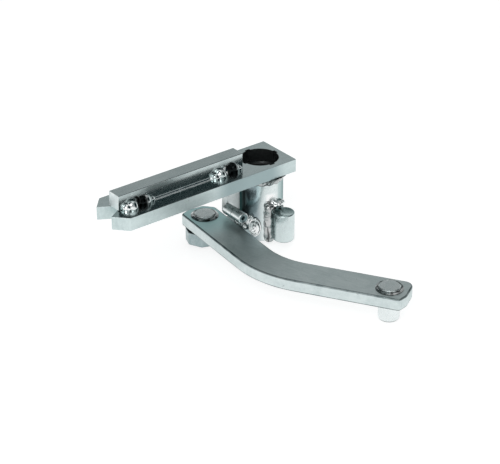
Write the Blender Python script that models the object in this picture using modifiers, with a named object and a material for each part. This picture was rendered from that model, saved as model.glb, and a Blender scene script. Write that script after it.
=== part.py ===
"""Lever set of an underground swing-gate operator: leaf plate, hub, lower arm and cranked link.

Metres, +Z up. The origin is on the hub's axis at the hub's foot. The leaf plate runs from the hub
along -X, and the link hangs on a pin at the end of the lower arm.
"""

import math

import bmesh
import bpy
from mathutils import Matrix, Vector

MM = 0.001
GAP = 0.3 * MM  # kept between pieces that touch

# Leaf plate
PLATE_WIDTH = 50 * MM
PLATE_THICK = 13 * MM
PLATE_TOP = 80.5 * MM
PLATE_HEAD = 23 * MM  # hub axis to the square end
PLATE_TIP = 182 * MM  # hub axis to the two tips
TIP_CHAMFER = Vector((12 * MM, 13.2 * MM))  # along and across the plate
NOTCH_DEPTH = 20 * MM
PLATE_BORE_R = 18.3 * MM
PLATE_BORE_X = -1.5 * MM
KEYWAY_WIDTH = 5.6 * MM
KEYWAY_R = 20.0 * MM

# Square bar on the plate
BAR_SIZE = 15 * MM
BAR_ENDS = (-170.4 * MM, -28 * MM)
BAR_WELDS = (-149 * MM, -48.5 * MM)  # middle of each pair of lumps
BAR_WELD_RADII = (8.2 * MM, 6.2 * MM, 8 * MM)
BAR_WELD_PITCH = 14.5 * MM

# Hub
HUB_R = 21.4 * MM
BORE_R = 17 * MM
HUB_TOP = PLATE_TOP - PLATE_THICK - GAP
BUSH_R = 14.8 * MM
BUSH_LENGTH = 22 * MM
PLATE_WELD_LEG = 5.5 * MM
PLATE_WELD_DROP = 8.5 * MM

# Lower arm and the link's pivot
ARM_WIDTH = 32 * MM
ARM_THICK = 13 * MM
ARM_REACH = 56.6 * MM
ARM_ANGLE = math.radians(159.3)
ARM_OVERHANG = 18 * MM
ARM_CHAMFER = 10 * MM
PIVOT = Vector((ARM_REACH * math.cos(ARM_ANGLE), ARM_REACH * math.sin(ARM_ANGLE)))
THRUST_THICK = 1.0 * MM

# Cranked link
LINK_WIDTH = 35 * MM
LINK_THICK = 12 * MM
LINK_FOOT = ARM_THICK + THRUST_THICK + 2 * 0.1 * MM
LINK_TOP = LINK_FOOT + LINK_THICK
LINK_RUNS = (116.5 * MM, 114 * MM)  # pivot to the bend's corner, and on to the drive pin
LINK_ANGLES = (math.radians(-96.0), math.radians(-58.5))
LINK_BEND_R = 85 * MM
LINK_OVERHANG = 18.5 * MM
LINK_BACK_CHAMFER = Vector((9 * MM, 9 * MM))  # at the pivot, along and across the link
LINK_FAR_CORNER_R = 8.5 * MM  # the back corner at the drive pin
LINK_FRONT_CHAMFER = Vector((4 * MM, 10 * MM))

# Pins
PIN_R = 10 * MM
RUNNING = 0.05 * MM  # radial clearance of the turning fit
LINK_BUSH_R = 12 * MM
PIVOT_HEAD_R = 9.5 * MM
PIVOT_HEAD_RISE = 2.4 * MM
PIVOT_RING_R = 13.5 * MM
PIVOT_SHANK_R = 8 * MM
DRIVE_HEAD_R = 10 * MM
DRIVE_HEAD_RISE = 2.4 * MM
DRIVE_RING_R = 13 * MM
RING_RISE = 1.4 * MM
DRIVE_PIN_FOOT = -4.9 * MM
CLIP_THICK = 1.5 * MM

# Upright stop on the hub
STUB_R = 10.4 * MM
STUB_ANGLE = math.radians(-85.0)
STUB_FOOT = 4.5 * MM
STUB_TOP = 33.5 * MM
STUB_CENTRE = HUB_R + STUB_R + GAP

# Lug and adjustable stop under the leaf plate
LUG_ENDS = (-41.5 * MM, -24.5 * MM)
LUG_SIDES = (1.1 * MM, 8.1 * MM)
LUG_FOOT = 31.5 * MM
STOP_X = -40.8 * MM
STOP_Z = 37.5 * MM
STOP_R = 5.5 * MM
SLEEVE_LENGTH = 12.3 * MM
SCREW_HEAD = 13.5 * MM
SCREW_SHANK_R = 3.9 * MM
SCREW_BORE_R = 4.0 * MM
SCREW_REACH = 1 * MM  # from the sleeve's foot to the shank's end
SOCKET_R = 3.4 * MM
SOCKET_DEPTH = 5 * MM

# Where neighbouring welds meet, as angles round the hub
TOP_WELD_SPREAD = math.radians(32)
STUB_WELD_SPLIT = math.radians(12)

STEEL = (0.62, 0.66, 0.66)
WELD = (0.7, 0.72, 0.72)
ROUND_STEPS = 48
SMALL_STEPS = 32


def reset_scene():
    for obj in list(bpy.data.objects):
        bpy.data.objects.remove(obj)
    for name in ("gate_opener_arm", "cutters"):
        collection = bpy.data.collections.new(name)
        bpy.context.scene.collection.children.link(collection)


def material(name, colour, roughness, metallic):
    made = bpy.data.materials.new(name)
    made.use_nodes = True
    shader = made.node_tree.nodes["Principled BSDF"]
    shader.inputs["Base Color"].default_value = (*colour, 1.0)
    shader.inputs["Roughness"].default_value = roughness
    shader.inputs["Metallic"].default_value = metallic
    return made


def finish_part(obj, colour=STEEL, roughness=0.3, metallic=1.0):
    """Names the mesh, gives the piece its own material and shades its round faces smooth."""
    obj.data.name = obj.name
    obj.data.materials.clear()
    obj.data.materials.append(material(obj.name, colour, roughness, metallic))
    obj.data.shade_smooth()
    obj.data.set_sharp_from_angle(angle=math.radians(35))
    return obj


def new_object(name, mesh, collection="gate_opener_arm"):
    obj = bpy.data.objects.new(name, mesh)
    bpy.data.collections[collection].objects.link(obj)
    if collection == "cutters":
        obj.hide_render = True
        obj.display_type = "WIRE"
    return obj


def box(name, low, high, collection="gate_opener_arm"):
    """An axis-aligned box between two corners."""
    low, high = Vector(low), Vector(high)
    shape = bmesh.new()
    bmesh.ops.create_cube(shape, size=1.0)
    bmesh.ops.scale(shape, vec=high - low, verts=shape.verts)
    mesh = bpy.data.meshes.new(name)
    shape.to_mesh(mesh)
    shape.free()
    obj = new_object(name, mesh, collection)
    obj.location = (low + high) / 2
    return obj


def cylinder(name, radius, foot, top, centre=(0, 0), steps=ROUND_STEPS, collection="gate_opener_arm"):
    """An upright cylinder from foot to top."""
    shape = bmesh.new()
    bmesh.ops.create_cone(
        shape, cap_ends=True, segments=steps, radius1=radius, radius2=radius, depth=top - foot
    )
    mesh = bpy.data.meshes.new(name)
    shape.to_mesh(mesh)
    shape.free()
    obj = new_object(name, mesh, collection)
    obj.location = (centre[0], centre[1], (foot + top) / 2)
    return obj


def turned(name, profile, centre=(0, 0), steps=ROUND_STEPS, collection="gate_opener_arm"):
    """A closed profile of (radius, height) points turned about an upright axis.

    The profile runs down its outer side. It is a ring where no point is on the axis.
    """
    shape = bmesh.new()
    points = [shape.verts.new((radius, 0, height)) for radius, height in profile]
    for first, second in zip(points, points[1:]):
        shape.edges.new((first, second))
    if profile[0][0] > 0:
        shape.edges.new((points[-1], points[0]))
    mesh = bpy.data.meshes.new(name)
    shape.to_mesh(mesh)
    shape.free()
    obj = new_object(name, mesh, collection)
    obj.location = (centre[0], centre[1], 0)
    screw = obj.modifiers.new("turn", "SCREW")
    screw.axis = "Z"
    screw.steps = steps
    screw.render_steps = steps
    screw.use_merge_vertices = True
    screw.merge_threshold = 0.00001
    return obj


def extruded(name, outline, foot, top, collection="gate_opener_arm"):
    """A flat outline between two heights, as a filled 2D curve made into a mesh."""
    curve = bpy.data.curves.new(name, "CURVE")
    curve.dimensions = "2D"
    curve.fill_mode = "BOTH"
    curve.extrude = (top - foot) / 2
    spline = curve.splines.new("POLY")
    spline.points.add(len(outline) - 1)
    for point, (x, y) in zip(spline.points, outline):
        point.co = (x, y, 0, 1)
    spline.use_cyclic_u = True
    guide = bpy.data.objects.new(name + "_outline", curve)
    guide.location.z = (foot + top) / 2
    bpy.context.scene.collection.objects.link(guide)
    bpy.context.view_layer.update()
    evaluated = guide.evaluated_get(bpy.context.evaluated_depsgraph_get())
    mesh = bpy.data.meshes.new_from_object(evaluated)
    shape = bmesh.new()
    shape.from_mesh(mesh)
    bmesh.ops.remove_doubles(shape, verts=shape.verts, dist=0.00001)
    bmesh.ops.recalc_face_normals(shape, faces=shape.faces)
    shape.to_mesh(mesh)
    shape.free()
    obj = new_object(name, mesh, collection)
    obj.matrix_world = guide.matrix_world.copy()
    bpy.data.objects.remove(guide)
    return obj


def boolean(obj, other, operation="DIFFERENCE"):
    """Adds an exact Boolean of the object with the other one."""
    modifier = obj.modifiers.new(operation.lower(), "BOOLEAN")
    modifier.operation = operation
    modifier.solver = "EXACT"
    modifier.object = other
    return modifier


def bevel(obj, width, segments=2, angle=math.radians(40)):
    modifier = obj.modifiers.new("bevel", "BEVEL")
    modifier.width = width
    modifier.segments = segments
    modifier.limit_method = "ANGLE"
    modifier.angle_limit = angle
    return modifier


def on_circle(radius, angle, centre=(0, 0)):
    return Vector((centre[0] + radius * math.cos(angle), centre[1] + radius * math.sin(angle)))


def arc(centre, radius, start, end, steps):
    return [on_circle(radius, start + (end - start) * step / steps, centre) for step in range(steps + 1)]


def along(origin, angle, forward, left):
    """The point that lies forward and to the left of origin, looking along angle."""
    ahead = Vector((math.cos(angle), math.sin(angle)))
    return Vector(origin) + ahead * forward + Vector((-ahead.y, ahead.x)) * left


# The leaf plate and its bar


def leaf_plate():
    half = PLATE_WIDTH / 2
    outline = [
        (PLATE_HEAD, -half),
        (PLATE_HEAD, half),
        (-PLATE_TIP + TIP_CHAMFER.x, half),
        (-PLATE_TIP, half - TIP_CHAMFER.y),
        (-PLATE_TIP + NOTCH_DEPTH, 0),
        (-PLATE_TIP, TIP_CHAMFER.y - half),
        (-PLATE_TIP + TIP_CHAMFER.x, -half),
    ]
    plate = extruded("leaf_plate", outline, PLATE_TOP - PLATE_THICK, PLATE_TOP)
    bevel(plate, 0.8 * MM, 2)
    low, high = PLATE_TOP - PLATE_THICK - 5 * MM, PLATE_TOP + 5 * MM
    middle = PLATE_BORE_X
    boolean(plate, cylinder("plate_bore", PLATE_BORE_R, low, high, (middle, 0), collection="cutters"))
    half_width = KEYWAY_WIDTH / 2
    for name, x, y in (("keyway_along", KEYWAY_R, half_width), ("keyway_across", half_width, KEYWAY_R)):
        boolean(plate, box(name, (middle - x, -y, low), (middle + x, y, high), "cutters"))
    return finish_part(plate)


def leaf_bar():
    half = BAR_SIZE / 2
    foot = PLATE_TOP + GAP
    bar = box("leaf_bar", (BAR_ENDS[0], -half, foot), (BAR_ENDS[1], half, foot + BAR_SIZE))
    bevel(bar, 1.4 * MM, 3)
    return finish_part(bar)


def beside(name, angle, side):
    """A cutter that fills one side (+1 is left) of the upright plane through the hub's axis at angle."""
    depth = 0.06
    cutter = box(name, (0, -GAP / 2, -0.05), (depth, depth, 0.08), "cutters")
    cutter.location.y *= side
    cutter.location = Matrix.Rotation(angle, 3, "Z") @ cutter.location
    cutter.rotation_euler.z = angle
    return cutter


def lump_mesh(name, lumps, collection="gate_opener_arm"):
    """One body of overlapping egg shapes, each given as (centre, radii, turn about +Z)."""
    first = None
    for number, (centre, radii, turn) in enumerate(lumps):
        shape = bmesh.new()
        bmesh.ops.create_uvsphere(shape, u_segments=14, v_segments=9, radius=1.0)
        bmesh.ops.scale(shape, vec=radii, verts=shape.verts)
        bmesh.ops.rotate(shape, cent=(0, 0, 0), matrix=Matrix.Rotation(turn, 3, "Z"), verts=shape.verts)
        mesh = bpy.data.meshes.new(name)
        shape.to_mesh(mesh)
        shape.free()
        if first is None:
            first = new_object(name, mesh, collection)
            first.location = centre
        else:
            more = new_object(f"{name}_lump_{number}", mesh, "cutters")
            more.location = centre
            boolean(first, more, "UNION")
    return first


def bar_welds():
    """Two short welds along each side of the bar, each made of two lumps."""
    half = BAR_SIZE / 2
    face = half + GAP
    top = PLATE_TOP + GAP
    floor = box("plate_clearance", (-0.2, -0.04, top - 0.02), (0, 0.04, top), "cutters")
    wall = box("bar_clearance", (-0.2, -face, top - 0.01), (0, face, top + 0.03), "cutters")
    for side, side_name in ((-1, "front"), (1, "back")):
        for middle, end_name in zip(BAR_WELDS, ("tip", "hub")):
            lumps = []
            for step in (-0.5, 0.5):
                x = middle + step * BAR_WELD_PITCH
                lumps.append(((x, side * (half + 1.2 * MM), PLATE_TOP + 1.5 * MM), BAR_WELD_RADII, 0.0))
            weld = lump_mesh(f"bar_weld_{side_name}_{end_name}", lumps)
            boolean(weld, floor)
            boolean(weld, wall)
            finish_part(weld, WELD, 0.15)


# The hub


def hub_tube():
    edge = 0.8 * MM
    profile = [
        (BORE_R, HUB_TOP),
        (HUB_R - edge, HUB_TOP),
        (HUB_R, HUB_TOP - edge),
        (HUB_R, edge),
        (HUB_R - edge, 0),
        (BORE_R + edge, 0),
        (BORE_R, edge),
    ]
    return finish_part(turned("hub_tube", profile))


def hub_bushes():
    outer = BORE_R - GAP
    for name, foot in (("hub_bush_lower", 1 * MM), ("hub_bush_upper", HUB_TOP - 1 * MM - BUSH_LENGTH)):
        top = foot + BUSH_LENGTH
        edge = 0.6 * MM
        profile = [
            (BUSH_R + edge, top),
            (outer, top),
            (outer, foot),
            (BUSH_R + edge, foot),
            (BUSH_R, foot + edge),
            (BUSH_R, top - edge),
        ]
        finish_part(turned(name, profile), (0.02, 0.02, 0.02), 0.5, 0.0)


def plate_weld():
    """A fillet weld all round the tube, under the plate."""
    inner = HUB_R + GAP
    top = HUB_TOP
    leg, drop = PLATE_WELD_LEG, PLATE_WELD_DROP
    profile = [
        (inner, top),
        (inner + leg, top),
        (inner + 0.62 * leg, top - 0.14 * drop),
        (inner + 0.3 * leg, top - 0.38 * drop),
        (inner + 0.1 * leg, top - 0.7 * drop),
        (inner, top - drop),
    ]
    weld = turned("plate_weld", profile)
    near, far = LUG_SIDES[0] - GAP, LUG_SIDES[1] + GAP
    boolean(weld, box("lug_clearance", (-0.04, near, top - 0.02), (0, far, top + 0.01), "cutters"))
    return finish_part(weld, WELD, 0.25)


# The lower arm and its welds


def lower_arm():
    half = ARM_WIDTH / 2
    tip = ARM_REACH + ARM_OVERHANG
    outline = [
        along((0, 0), ARM_ANGLE, 0, half),
        along((0, 0), ARM_ANGLE, 0, -half),
        along((0, 0), ARM_ANGLE, tip - ARM_CHAMFER, -half),
        along((0, 0), ARM_ANGLE, tip, ARM_CHAMFER - half),
        along((0, 0), ARM_ANGLE, tip, half - ARM_CHAMFER),
        along((0, 0), ARM_ANGLE, tip - ARM_CHAMFER, half),
    ]
    arm = extruded("lower_arm", outline, 0, ARM_THICK)
    bevel(arm, 0.8 * MM, 2)
    boolean(arm, cylinder("hub_clearance", HUB_R + GAP, -0.01, 0.1, collection="cutters"))
    boolean(arm, cylinder("arm_eye", PIVOT_SHANK_R + GAP, -0.01, 0.1, PIVOT, SMALL_STEPS, "cutters"))
    return finish_part(arm)


def arm_weld_top():
    """A row of small lumps round the tube, on the arm's top face."""
    foot = ARM_THICK + GAP
    floor = box("arm_top_clearance", (-0.08, -0.08, foot - 0.02), (0.08, 0.08, foot), "cutters")
    radius = 3.8 * MM
    lumps = []
    for step in range(-2, 3):
        x, y = on_circle(HUB_R + 1.5 * MM, ARM_ANGLE + step * math.radians(15))
        lumps.append(((x, y, ARM_THICK + 0.6 * MM), (radius, radius, radius), 0.0))
    weld = lump_mesh("arm_weld_top", lumps)
    boolean(weld, floor)
    boolean(weld, bpy.data.objects["hub_clearance"])
    for side in (1, -1):
        boolean(weld, beside(f"top_weld_end_{side}", ARM_ANGLE + side * TOP_WELD_SPREAD, side))
    return finish_part(weld, WELD, 0.2)


def arm_side_weld(name, side, heights):
    """An upright row of lumps in the corner between the tube and one side of the arm."""
    face = ARM_WIDTH / 2 + GAP
    wall = box(name + "_clearance", (0, -0.03, -0.03), (0.08, face, ARM_THICK + GAP), "cutters")
    if side < 0:
        wall.location.y = -wall.location.y
    wall.location = Matrix.Rotation(ARM_ANGLE, 3, "Z") @ wall.location
    wall.rotation_euler.z = ARM_ANGLE
    corner = ARM_ANGLE + side * math.asin(ARM_WIDTH / 2 / HUB_R)
    lumps = []
    for number, height in enumerate(heights):
        turn = corner + side * math.radians(3 + 2 * number)
        x, y = on_circle(HUB_R + 1.0 * MM, turn)
        lumps.append(((x, y, height * MM), (5.0 * MM, 7.0 * MM, 6.8 * MM), turn))
    weld = lump_mesh(name, lumps)
    boolean(weld, wall)
    boolean(weld, bpy.data.objects["hub_clearance"])
    boolean(weld, bpy.data.objects["ground"])
    boolean(weld, beside(name + "_end", ARM_ANGLE + side * TOP_WELD_SPREAD, -side))
    return finish_part(weld, WELD, 0.2)


def arm_welds():
    box("ground", (-0.1, -0.1, -0.02), (0.1, 0.1, GAP), "cutters")
    arm_weld_top()
    arm_side_weld("arm_weld_front", 1, (8, 14, 21))
    arm_side_weld("arm_weld_back", -1, (5, 9))


# The upright stop


def stop_stub():
    edge = 1.2 * MM
    profile = [
        (0, STUB_TOP - 0.5 * MM),
        (STUB_R - 2.4 * MM, STUB_TOP - 0.5 * MM),
        (STUB_R - 1.8 * MM, STUB_TOP),
        (STUB_R - edge, STUB_TOP),
        (STUB_R, STUB_TOP - edge),
        (STUB_R, STUB_FOOT + edge),
        (STUB_R - edge, STUB_FOOT),
        (0, STUB_FOOT),
    ]
    centre = on_circle(STUB_CENTRE, STUB_ANGLE)
    return finish_part(turned("stop_stub", profile, centre, SMALL_STEPS))


def stub_side_weld(name, side, heights):
    """An upright row of lumps in the corner between the stop and the tube."""
    x, y = on_circle(HUB_R + 3.2 * MM, STUB_ANGLE + side * math.radians(22))
    lumps = [((x, y, height * MM), (4.4 * MM, 4.4 * MM, 6.5 * MM), 0.0) for height in heights]
    weld = lump_mesh(name, lumps)
    boolean(weld, bpy.data.objects["hub_clearance"])
    boolean(weld, bpy.data.objects["stub_clearance"])
    if side < 0:
        boolean(weld, beside("left_weld_end", STUB_ANGLE - STUB_WELD_SPLIT, 1))
    return finish_part(weld, WELD, 0.15)


def stub_weld_top():
    """Three lumps that run over the stop's top, against the tube."""
    lumps = []
    for turn in (-10, 3, 16):
        x, y = on_circle(HUB_R + 1.6 * MM, STUB_ANGLE + math.radians(turn))
        lumps.append(((x, y, STUB_TOP + 4.0 * MM), (5.2 * MM, 5.2 * MM, 6.0 * MM), 0.0))
    weld = lump_mesh("stub_weld_top", lumps)
    boolean(weld, bpy.data.objects["hub_clearance"])
    boolean(weld, bpy.data.objects["stub_clearance"])
    boolean(weld, beside("over_weld_end", STUB_ANGLE - STUB_WELD_SPLIT, -1))
    return finish_part(weld, WELD, 0.12)


def stub_welds():
    centre = on_circle(STUB_CENTRE, STUB_ANGLE)
    cylinder("stub_clearance", STUB_R + GAP, -0.02, STUB_TOP + GAP, centre, SMALL_STEPS, "cutters")
    stub_side_weld("stub_weld_left", -1, (7, 16, 25, 33))
    stub_side_weld("stub_weld_right", 1, (10, 17, 24))
    stub_weld_top()


# The lug and the adjustable stop


def stop_lug():
    """A small upright plate that hangs from the leaf plate beside the hub, just clear of the tube."""
    low = (LUG_ENDS[0], LUG_SIDES[0], LUG_FOOT)
    lug = box("stop_lug", low, (LUG_ENDS[1], LUG_SIDES[1], HUB_TOP))
    bevel(lug, 0.8 * MM, 2)
    return finish_part(lug)


def level_cylinder(name, radius, start, end, collection="gate_opener_arm"):
    """A cylinder along Y on the adjustable stop's axis."""
    obj = cylinder(name, radius, min(start, end), max(start, end), (0, 0), SMALL_STEPS, collection)
    obj.location = (STOP_X, (start + end) / 2, STOP_Z)
    obj.rotation_euler.x = math.radians(90)
    return obj


def stop_sleeve(start):
    sleeve = level_cylinder("stop_sleeve", STOP_R, start, start - SLEEVE_LENGTH)
    bevel(sleeve, 0.6 * MM, 2)
    boolean(sleeve, level_cylinder("sleeve_hole", SCREW_BORE_R, 0.02, -0.04, "cutters"))
    return finish_part(sleeve)


def stop_screw(start):
    """A round head with a socket, on a shank that runs in the sleeve."""
    head = start - SLEEVE_LENGTH - GAP
    face = head - SCREW_HEAD
    screw = level_cylinder("stop_screw", STOP_R, head, face)
    bevel(screw, 1.2 * MM, 3)
    shank = level_cylinder("screw_shank", SCREW_SHANK_R, start - SCREW_REACH, head - 2 * MM, "cutters")
    boolean(screw, shank, "UNION")
    boolean(screw, level_cylinder("screw_socket", SOCKET_R, face + SOCKET_DEPTH, face - 0.03, "cutters"))
    return finish_part(screw)


def adjustable_stop():
    """The sleeve on the lug's front, and the screw in it."""
    start = LUG_SIDES[0] - GAP
    stop_sleeve(start)
    stop_screw(start)


# The link and its pins


def link_outline():
    """Clipped corners, one of them round, and a bend of constant width between the two straight runs."""
    first, second = LINK_ANGLES
    half = LINK_WIDTH / 2
    corner = along(PIVOT, first, LINK_RUNS[0], 0)
    drive = along(corner, second, LINK_RUNS[1], 0)
    turn = second - first
    centre = along(corner, first, -LINK_BEND_R * math.tan(turn / 2), LINK_BEND_R)
    outer = arc(centre, LINK_BEND_R + half, first - math.pi / 2, second - math.pi / 2, 12)
    inner = arc(centre, LINK_BEND_R - half, second - math.pi / 2, first - math.pi / 2, 10)
    back, front = LINK_BACK_CHAMFER, LINK_FRONT_CHAMFER
    end = LINK_OVERHANG
    near_end = [
        along(PIVOT, first, -end + back.x, half),
        along(PIVOT, first, -end, half - back.y),
        along(PIVOT, first, -end, front.y - half),
        along(PIVOT, first, -end + front.x, -half),
    ]
    round_corner = along(drive, second, end - LINK_FAR_CORNER_R, half - LINK_FAR_CORNER_R)
    far_end = [
        along(drive, second, end - front.x, -half),
        along(drive, second, end, front.y - half),
        *arc(round_corner, LINK_FAR_CORNER_R, second, second + math.pi / 2, 4),
    ]
    return near_end + outer + far_end + inner, drive


def link_plate(outline, drive):
    link = extruded("link_plate", outline, LINK_FOOT, LINK_TOP)
    bevel(link, 0.9 * MM, 2)
    low, high = LINK_FOOT - 0.01, LINK_TOP + 0.01
    boolean(link, cylinder("link_eye", LINK_BUSH_R + GAP, low, high, PIVOT, SMALL_STEPS, "cutters"))
    boolean(link, cylinder("drive_eye", PIVOT_SHANK_R + GAP, low, high, drive, SMALL_STEPS, "cutters"))
    return finish_part(link, (0.55, 0.6, 0.6), 0.35)


def link_bush():
    inner = PIVOT_SHANK_R + RUNNING
    profile = [
        (inner, LINK_TOP),
        (LINK_BUSH_R, LINK_TOP),
        (LINK_BUSH_R, LINK_FOOT),
        (inner, LINK_FOOT),
    ]
    return finish_part(turned("link_bush", profile, PIVOT, SMALL_STEPS), (0.6, 0.42, 0.2), 0.35)


def head_ring(name, centre, inner, outer):
    """The bevelled ring that lies on the link round a pin's head."""
    foot = LINK_TOP + GAP
    profile = [
        (inner, foot + RING_RISE),
        (outer - 2.2 * MM, foot + RING_RISE),
        (outer, foot + 0.5 * MM),
        (outer, foot),
        (inner, foot),
    ]
    return finish_part(turned(name, profile, centre, SMALL_STEPS))


def pivot_pin():
    """Shouldered pin, fixed in the arm: a flat head, a shank through link and arm, and a groove below."""
    head = LINK_TOP + GAP + PIVOT_HEAD_RISE
    edge = 0.8 * MM
    groove = PIVOT_SHANK_R - 1.2 * MM
    groove_top = -0.2 * MM
    groove_foot = groove_top - CLIP_THICK - 2 * 0.15 * MM
    foot = groove_foot - 2 * MM
    profile = [
        (0, head),
        (PIVOT_HEAD_R - edge, head),
        (PIVOT_HEAD_R, head - edge),
        (PIVOT_HEAD_R, LINK_TOP + GAP),
        (PIVOT_SHANK_R, LINK_TOP + GAP),
        (PIVOT_SHANK_R, groove_top),
        (groove, groove_top),
        (groove, groove_foot),
        (PIVOT_SHANK_R, groove_foot),
        (PIVOT_SHANK_R, foot + edge),
        (PIVOT_SHANK_R - edge, foot),
        (0, foot),
    ]
    return finish_part(turned("pivot_pin", profile, PIVOT, SMALL_STEPS))


def pivot_clip():
    """Open retaining ring in the pin's groove, with the two ears at its gap."""
    inner = PIVOT_SHANK_R - 1.0 * MM
    outer = PIVOT_SHANK_R + 3 * MM
    opening = math.radians(22)
    ear = 3.2 * MM
    sweep = (opening, 2 * math.pi - opening)
    outline = (
        [on_circle(outer + ear, sweep[0] * 0.9, PIVOT)]
        + arc(PIVOT, outer, sweep[0] * 1.9, 2 * math.pi - sweep[0] * 1.9, 24)
        + [on_circle(outer + ear, -sweep[0] * 0.9, PIVOT)]
        + arc(PIVOT, inner, sweep[1], sweep[0], 24)
    )
    top = -0.35 * MM
    clip = extruded("pivot_clip", outline, top - CLIP_THICK, top)
    return finish_part(clip, (0.08, 0.08, 0.08), 0.4)


def thrust_washer():
    foot = ARM_THICK + 0.1 * MM
    inner = PIVOT_SHANK_R + GAP
    profile = [
        (inner, foot + THRUST_THICK),
        (PIVOT_RING_R, foot + THRUST_THICK),
        (PIVOT_RING_R, foot),
        (inner, foot),
    ]
    return finish_part(turned("thrust_washer", profile, PIVOT, SMALL_STEPS), (0.6, 0.42, 0.2), 0.35)


def drive_pin(drive):
    """Pin that goes down into the operator's lever: riveted in the link, with a shoulder under it."""
    head = LINK_TOP + GAP + DRIVE_HEAD_RISE
    edge = 0.8 * MM
    end = 2.2 * MM
    profile = [
        (0, head),
        (DRIVE_HEAD_R - edge, head),
        (DRIVE_HEAD_R, head - edge),
        (DRIVE_HEAD_R, LINK_TOP + GAP),
        (PIVOT_SHANK_R, LINK_TOP + GAP),
        (PIVOT_SHANK_R, LINK_FOOT - GAP),
        (PIN_R, LINK_FOOT - GAP),
        (PIN_R, DRIVE_PIN_FOOT + end),
        (PIN_R - 0.3 * end, DRIVE_PIN_FOOT + 0.3 * end),
        (PIN_R - end, DRIVE_PIN_FOOT),
        (0, DRIVE_PIN_FOOT),
    ]
    return finish_part(turned("drive_pin", profile, drive, SMALL_STEPS))


def build():
    reset_scene()
    leaf_plate()
    leaf_bar()
    bar_welds()
    hub_tube()
    hub_bushes()
    plate_weld()
    lower_arm()
    arm_welds()
    stop_stub()
    stub_welds()
    stop_lug()
    adjustable_stop()
    outline, drive = link_outline()
    link_plate(outline, drive)
    link_bush()
    pivot_pin()
    pivot_clip()
    thrust_washer()
    head_ring("pivot_washer", PIVOT, PIVOT_HEAD_R + GAP, PIVOT_RING_R)
    drive_pin(drive)
    head_ring("drive_collar", drive, DRIVE_HEAD_R + GAP, DRIVE_RING_R)


build()
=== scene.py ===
"""The looks of the gate opener arm: zinc-plated steel bars, a hub, glossy weld beads and pins."""

import math

import bmesh
import bpy
from mathutils import Matrix, Vector, noise


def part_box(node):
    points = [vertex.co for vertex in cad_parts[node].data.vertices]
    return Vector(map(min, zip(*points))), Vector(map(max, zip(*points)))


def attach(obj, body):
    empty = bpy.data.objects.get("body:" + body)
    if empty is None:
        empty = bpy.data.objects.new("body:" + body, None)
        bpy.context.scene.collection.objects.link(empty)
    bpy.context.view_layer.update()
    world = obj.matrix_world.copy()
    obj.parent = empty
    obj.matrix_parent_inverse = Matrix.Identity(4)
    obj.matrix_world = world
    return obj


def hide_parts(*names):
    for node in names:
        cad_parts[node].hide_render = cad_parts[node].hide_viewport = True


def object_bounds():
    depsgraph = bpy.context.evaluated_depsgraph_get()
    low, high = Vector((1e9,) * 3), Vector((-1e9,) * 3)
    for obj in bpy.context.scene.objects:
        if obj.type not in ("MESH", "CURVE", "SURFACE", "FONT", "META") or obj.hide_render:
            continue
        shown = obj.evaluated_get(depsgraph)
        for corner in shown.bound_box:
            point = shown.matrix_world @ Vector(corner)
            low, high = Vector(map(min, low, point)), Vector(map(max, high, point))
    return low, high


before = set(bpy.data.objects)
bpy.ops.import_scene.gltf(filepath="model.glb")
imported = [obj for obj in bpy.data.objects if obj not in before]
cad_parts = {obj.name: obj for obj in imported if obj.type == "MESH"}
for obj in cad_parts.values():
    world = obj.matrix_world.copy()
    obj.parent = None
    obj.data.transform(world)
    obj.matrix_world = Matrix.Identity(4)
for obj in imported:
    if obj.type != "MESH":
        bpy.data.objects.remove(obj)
CAD_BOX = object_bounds()

MM = 0.001

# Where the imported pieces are
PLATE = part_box("leaf_plate")
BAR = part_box("leaf_bar")
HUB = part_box("hub_tube")
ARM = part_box("lower_arm")
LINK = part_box("link_plate")
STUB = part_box("stop_stub")
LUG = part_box("stop_lug")
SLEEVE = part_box("stop_sleeve")
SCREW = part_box("stop_screw")
PIVOT_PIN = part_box("pivot_pin")
PIVOT_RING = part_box("pivot_washer")
DRIVE_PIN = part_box("drive_pin")
DRIVE_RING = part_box("drive_collar")
HUB_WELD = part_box("plate_weld")


def middle(corners):
    return (corners[0] + corners[1]) / 2


HUB_R = (HUB[1].x - HUB[0].x) / 2
PIVOT = middle(PIVOT_PIN).xy
DRIVE = middle(DRIVE_PIN).xy

# Shapes that the boxes don't say
BORE_R = 17 * MM
PLATE_BORE_R = 18.3 * MM
PLATE_BORE_X = -1.5 * MM
KEYWAY_HALF = 2.8 * MM
KEYWAY_R = 20.0 * MM
TIP_CHAMFER = Vector((12 * MM, 13.2 * MM))
NOTCH_DEPTH = 20 * MM
ARM_ANGLE = math.atan2(PIVOT.y, PIVOT.x)
ARM_HALF = 16 * MM
ARM_OVERHANG = 18 * MM
ARM_CHAMFER = 10 * MM
LINK_HALF = 17.5 * MM
LINK_RUNS = (116.5 * MM, 114 * MM)
LINK_ANGLES = (math.radians(-96.0), math.radians(-58.5))
LINK_BEND_R = 85 * MM
LINK_OVERHANG = 18.5 * MM
LINK_BACK_CHAMFER = Vector((9 * MM, 9 * MM))
LINK_FAR_CORNER_R = 8.5 * MM
LINK_FRONT_CHAMFER = Vector((4 * MM, 10 * MM))
GAP = 0.3 * MM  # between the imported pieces
PIN_NECK_R = 8 * MM
CLIP_GROOVE_R = 6.8 * MM
CLIP_GROOVE = (-0.2 * MM, -2.0 * MM)
SLEEVE_BORE_R = 4.0 * MM
SCREW_SHANK_R = 3.9 * MM
WHORL_REACH = Vector((6.6 * MM, 10.6 * MM))
WHORL_HEIGHT = 15.5 * MM

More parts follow.
